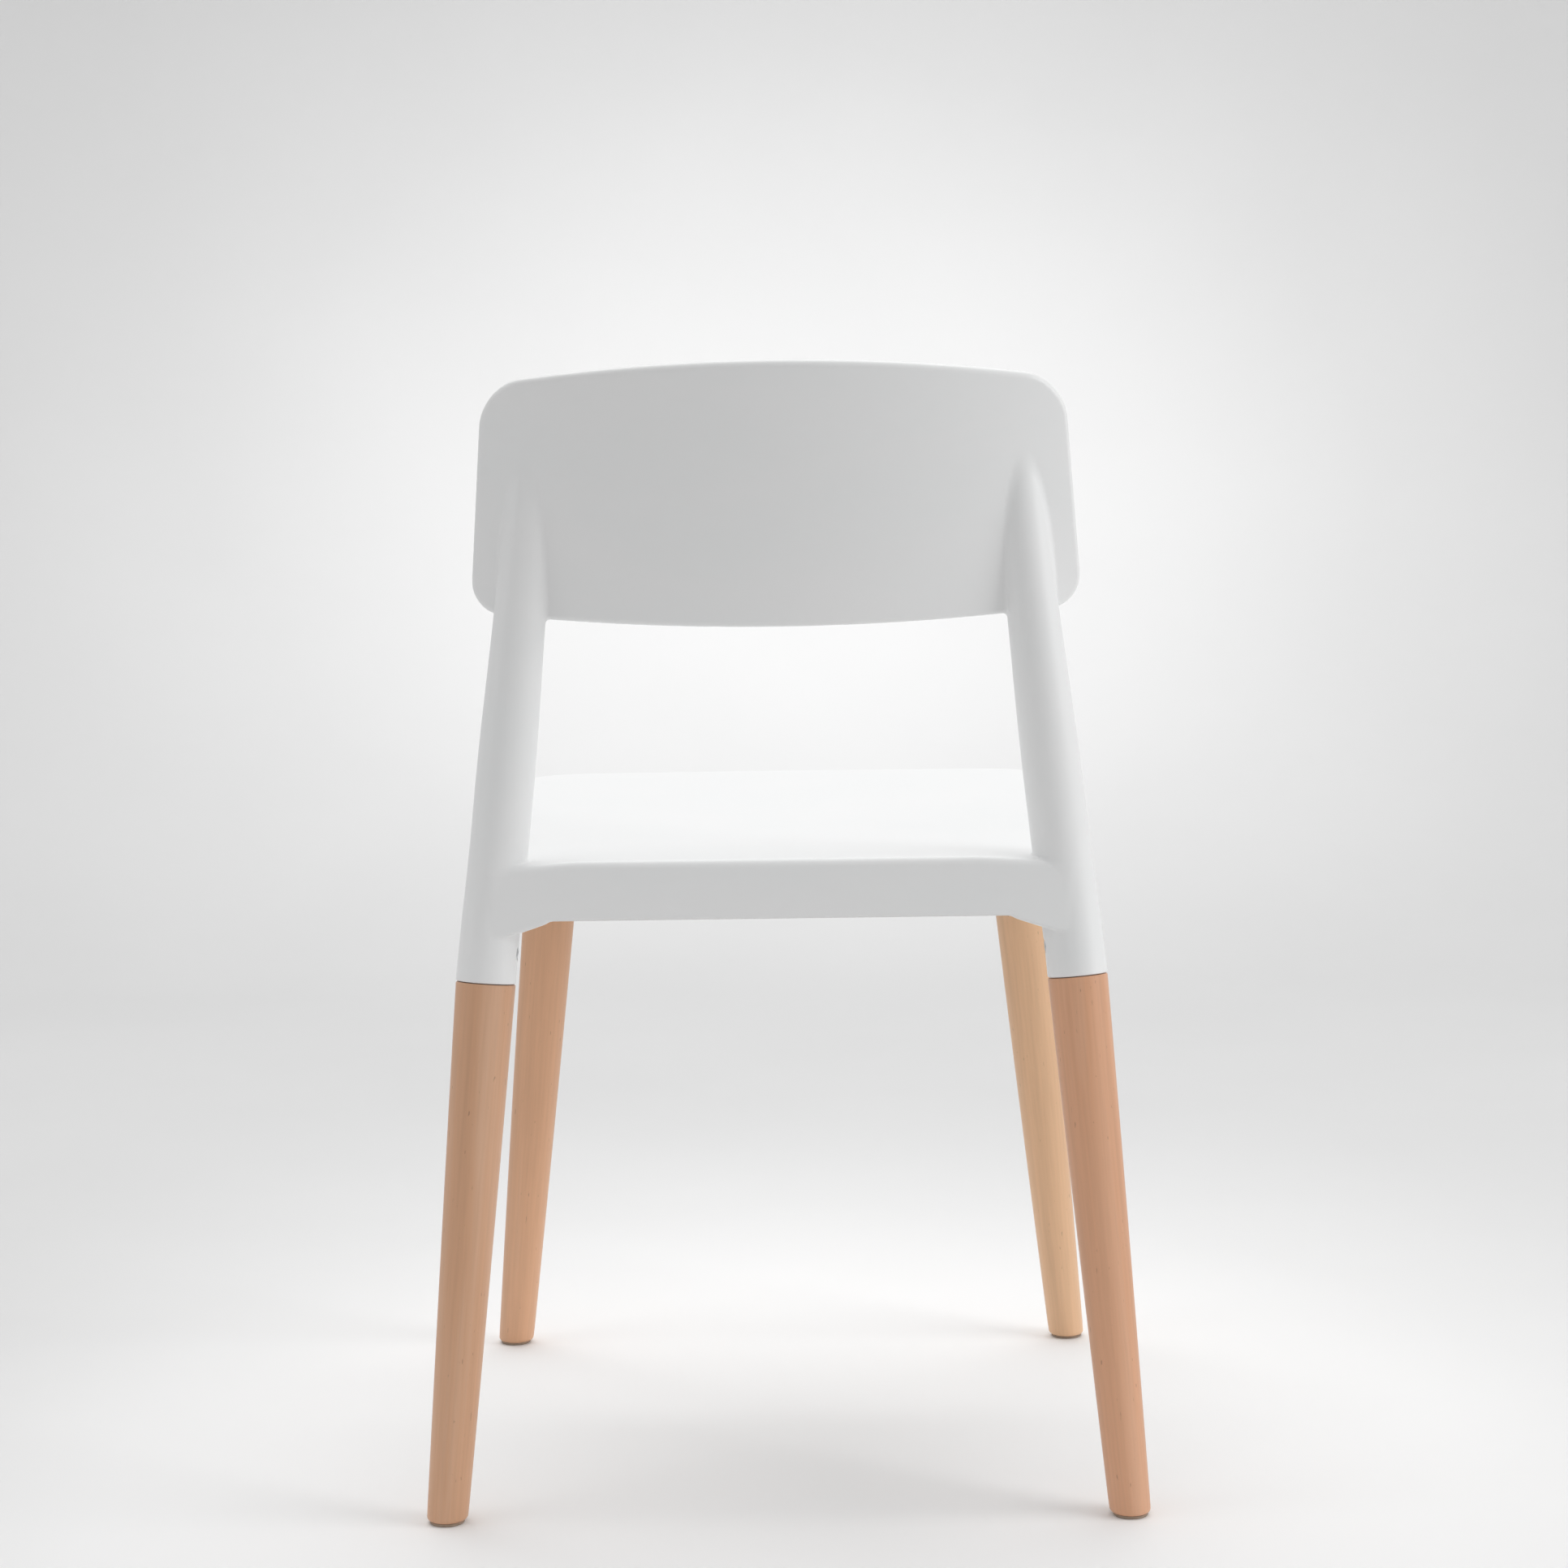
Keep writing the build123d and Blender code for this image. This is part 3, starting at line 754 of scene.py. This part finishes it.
def nylon():
    """Brown-grey glide nylon, scuffed."""
    s = Shader("glide_nylon")
    place = s.place()
    tone = s.ramp(s.noise(place, 300, 4), (0.3, linear(146, 126, 108)), (0.7, linear(164, 144, 125)))
    s.set(Base_Color=tone, Roughness=s.between(s.noise(place, 700, 3), 0.45, 0.65))
    s.set(Normal=s.bump(s.noise(place, 1800, 3), 0.15, 0.0001))
    return s.material


def metal(name, light, dark, rough):
    """Plated or bare metal with light tool marks."""
    s = Shader(name)
    place = s.place()
    tone = s.ramp(s.noise(place, 260, 4), (0.3, linear(*dark)), (0.7, linear(*light)))
    marks = s.noise(s.stretched((900, 900, 4000)), 1.0, 3)
    s.set(Base_Color=tone, Metallic=1.0, Roughness=s.between(marks, rough - 0.06, rough + 0.08))
    s.set(Normal=s.bump(marks, 0.1, 0.00006))
    return s.material


def studio_paper():
    """Pale matt paper for the floor and backdrop, with painted light: a lighter soft round patch on each
    stands in for the glow on the backdrop and the pool of light on the floor.
    """
    s = Shader("studio_paper")
    place = s.place()

    # Painted-light weight: 1 at a patch's centre, fading to 0 at its reach.
    def painted_light_patch(centre, reach):
        inputs = {"Vector": place, "Location": centre, "Scale": reach}
        inside = s.add("Mapping", inputs, vector_type="TEXTURE").outputs[0]
        distance = s.add("VectorMath", {0: inside}, operation="LENGTH").outputs["Value"]
        inputs = {"Value": distance, "To Min": 1.0, "To Max": 0.0}
        return s.add("MapRange", inputs, interpolation_type="SMOOTHERSTEP").outputs[0]

    # Painted light: a lighter round patch on the backdrop behind the chair and one on the floor around it
    # stand in for light falling there.
    painted_backdrop_glow = painted_light_patch((0, -3.6, 0.45), (2.2, 2.2, 2.0))
    painted_floor_pool = painted_light_patch((0, 0.1, 0), (1.25, 1.6, 1.0))
    lit = s.add("Math", {0: painted_backdrop_glow, 1: painted_floor_pool}, operation="MAXIMUM").outputs[0]
    # Paper tone from the plain edges up to the painted light at the patches' centres.
    far, middle, near = linear(214, 214, 214), linear(231, 231, 231), linear(253, 253, 253)
    tone = s.ramp(lit, (0.0, far), (0.5, middle), (1.0, near))
    mottle = s.ramp(s.noise(place, 2.5, 3), (0.35, 0.985), (0.65, 1.0))
    s.set(Base_Color=s.mix(1.0, tone, mottle, "MULTIPLY"), Roughness=0.85, Specular_IOR_Level=0.2)
    s.set(Normal=s.bump(s.noise(place, 900, 3), 0.05, 0.0002))
    return s.material


def paint(piece, material):
    """Puts one material on a piece or a CAD node."""
    if not piece.material_slots:
        piece.data.materials.append(material)
    for slot in piece.material_slots:
        slot.material = material


# ---- camera ----------------------------------------------------------------------------------------------
def make_camera():
    """Camera behind the chair, as high as the backrest, tilted slightly down."""
    place = Vector((-0.0199, 2.3432, 0.7285))
    yaw, pitch, roll = -0.0075, -0.1043, -0.0141
    forward = Vector((-math.sin(yaw) * math.cos(pitch), -math.cos(yaw) * math.cos(pitch), math.sin(pitch)))
    right = Vector((-math.cos(yaw), math.sin(yaw), 0))
    up = right.cross(forward)
    turned_right = math.cos(roll) * right + math.sin(roll) * up
    turned_up = math.cos(roll) * up - math.sin(roll) * right
    lens = bpy.data.cameras.new("camera")
    lens.lens = 73.83
    lens.sensor_width = 36
    camera = bpy.data.objects.new("camera", lens)
    matrix = Matrix((turned_right, turned_up, -forward)).transposed().to_4x4()
    matrix.translation = place
    camera.matrix_world = matrix
    bpy.context.scene.collection.objects.link(camera)
    bpy.context.scene.camera = camera


# ---- studio ----------------------------------------------------------------------------------------------
def make_stage():
    """Round floor that curves up into a backdrop on every side, with the chair near its middle."""
    radius, bend, height = 4600, 1600, 3200
    middle = (0, 1.0, 0)
    section = []
    for k in range(25):
        angle = math.pi / 2 * k / 24
        section.append((radius - bend + bend * math.sin(angle), bend - bend * math.cos(angle)))
    section.append((radius, height))
    steps = 96
    points = []
    for reach, rise in section:
        for k in range(steps):
            angle = 2 * math.pi * k / steps
            points.append((reach * math.cos(angle), reach * math.sin(angle), rise))
    faces = []
    for ring in range(len(section) - 1):
        for k in range(steps):
            following = (k + 1) % steps
            a, b = ring * steps, (ring + 1) * steps
            faces.append((b + k, b + following, a + following, a + k))
    faces.append(tuple(range(steps)))
    stage = new_piece("studio_floor", points, faces)
    stage.data.transform(Matrix.Translation(middle))
    paint(stage, studio_paper())


def make_light(name, place, aim, size, power):
    """Soft rectangular light that points at a place."""
    lamp = bpy.data.lights.new(name, "AREA")
    lamp.shape = "RECTANGLE"
    lamp.size, lamp.size_y = size
    lamp.energy = power
    light = bpy.data.objects.new(name, lamp)
    light.location = place
    light.rotation_euler = (Vector(aim) - Vector(place)).to_track_quat("-Z", "Y").to_euler()
    bpy.context.scene.collection.objects.link(light)


def make_lights():
    """Soft lights overhead, at both sides, on the backdrop and behind the camera, in an even pale room."""
    make_light("over", (0.2, -0.8, 2.8), (0, 0, 0.3), (2.8, 2.8), 33)
    make_light("right_side", (-2.5, 0.75, 1.4), (0, 0.1, 0.5), (1.6, 1.6), 29)
    make_light("backdrop", (0, -1.5, 3.0), (0, -3.6, 0.6), (4.0, 0.8), 26)
    make_light("left_side", (2.6, 0.9, 1.3), (0, 0.1, 0.5), (1.6, 1.6), 7)
    make_light("behind_camera", (0.6, 3.4, 1.8), (0, 0.2, 0.5), (2.4, 1.8), 3)
    world = bpy.data.worlds.new("studio")
    world.use_nodes = True
    world.node_tree.nodes["Background"].inputs["Color"].default_value = (1, 1, 1, 1)
    world.node_tree.nodes["Background"].inputs["Strength"].default_value = 0.56
    bpy.context.scene.world = world


# ---- assembly --------------------------------------------------------------------------------------------
bpy.context.scene.view_settings.view_transform = "Standard"
make_camera()

plastic = white_plastic()
moulded = make_moulding()
paint(moulded, plastic)
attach(moulded, "root")
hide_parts("seat_shell", "left_upright", "right_upright", "backrest")

# Each leg's beech tone. The front legs are lighter, partly in their own colour and partly as painted light
# for the extra light they catch.
LEG_TONES_AND_PAINTED_LIGHT = {
    ("rear", 1): (213, 165, 130),
    ("rear", -1): (221, 167, 131),
    ("front", 1): (223, 173, 136),
    ("front", -1): (234, 190, 150),
}
for number, ((end, side), tone) in enumerate(LEG_TONES_AND_PAINTED_LIGHT.items()):
    leg = make_leg(end, side)
    name = leg_name(end, side)
    paint(leg, beech("beech_" + name, tone, leg_matrix(end, side), 1.7 * number))
    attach(leg, "root")
    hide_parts(name)

FINISHES = {
    "glide_nylon": nylon(),
    "zinc_steel": metal("zinc_steel", (206, 208, 210), (170, 172, 176), 0.32),
    "brass": metal("brass", (214, 180, 110), (180, 144, 78), 0.34),
}
for row in frame["record"]["subparts"]:
    if row["material_slot"] in FINISHES:
        paint(frame["nodes"][row["node"]], FINISHES[row["material_slot"]])

make_stage()
make_lights()
